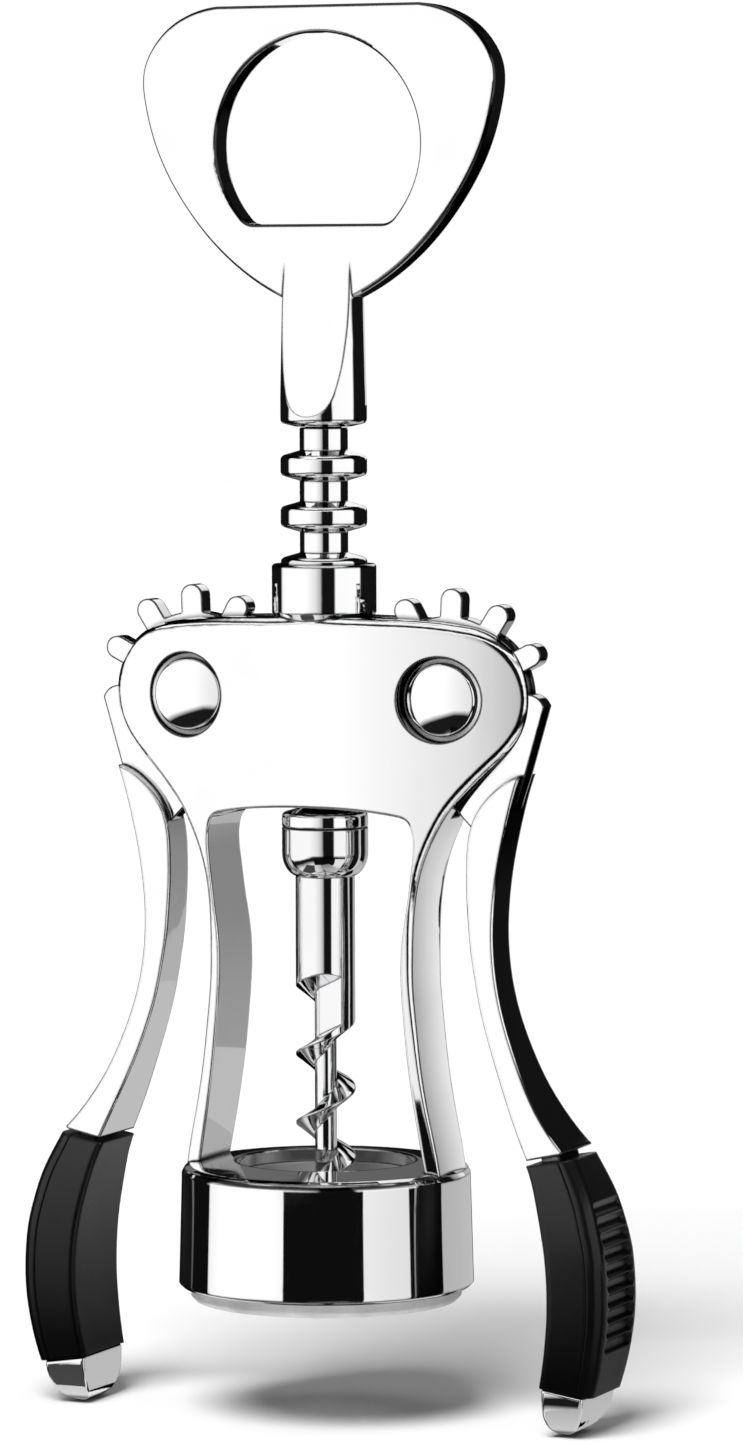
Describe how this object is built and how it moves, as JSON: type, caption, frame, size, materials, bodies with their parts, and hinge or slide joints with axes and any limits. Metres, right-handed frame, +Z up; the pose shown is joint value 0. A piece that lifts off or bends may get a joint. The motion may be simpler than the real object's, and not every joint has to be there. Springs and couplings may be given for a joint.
{
  "type": "lever corkscrew",
  "caption": "Chrome wing corkscrew with ribbed black grips, geared levers on a ringed rack, a worm over a bell and a flat bottle-opener handle.",
  "frame": {"origin": "centre of the bell's mouth at the bottom plane of the plastic bottle seat, on the screw axis", "axes": "+X to the right lever, +Y to the back, +Z up the screw towards the handle"},
  "size_m": [0.088, 0.0412, 0.196],
  "materials": {
    "chrome": "polished",
    "worm_steel": "polished",
    "grip_black": "satin",
    "seat_plastic": "satin"
  },
  "bodies": {
    "frame": {"bell_frame": "chrome", "bottle_seat_liner": "seat_plastic", "axle_pin_right": "chrome", "axle_pin_left": "chrome", "axle_cap_right": "chrome", "axle_cap_left": "chrome"},
    "rack": {"rack_sleeve": "chrome"},
    "screw": {"opener_handle": "chrome", "spindle_rod": "worm_steel", "worm": "worm_steel"},
    "right_lever": {"lever_right": "chrome", "grip_body_right": "grip_black", "grip_cover_right": "grip_black", "tip_cap_right": "chrome"},
    "left_lever": {"lever_left": "chrome", "grip_body_left": "grip_black", "grip_cover_left": "grip_black", "tip_cap_left": "chrome"}
  },
  "joints": [
    {"name": "rack_slide", "type": "slide", "parent": "frame", "child": "rack", "axis": [0, 0, -1], "range_m": [0, 0.0322]},
    {"name": "screw_spin", "type": "hinge", "parent": "rack", "child": "screw", "pos_m": [0, 0, 0.12], "axis": [0, 0, -1], "continuous": true},
    {"name": "right_lever_hinge", "type": "hinge", "parent": "frame", "child": "right_lever", "pos_m": [0.01907, 0, 0.08421], "axis": [0, -1, 0], "range_deg": [0, 140]},
    {"name": "left_lever_hinge", "type": "hinge", "parent": "frame", "child": "left_lever", "pos_m": [-0.01907, 0, 0.08421], "axis": [0, 1, 0], "range_deg": [0, 140]}
  ],
  "couplings": [
    {"joint": "right_lever_hinge", "follows": "rack_slide", "rad_per_m": 74.8},
    {"joint": "left_lever_hinge", "follows": "rack_slide", "rad_per_m": 74.8}
  ]
}
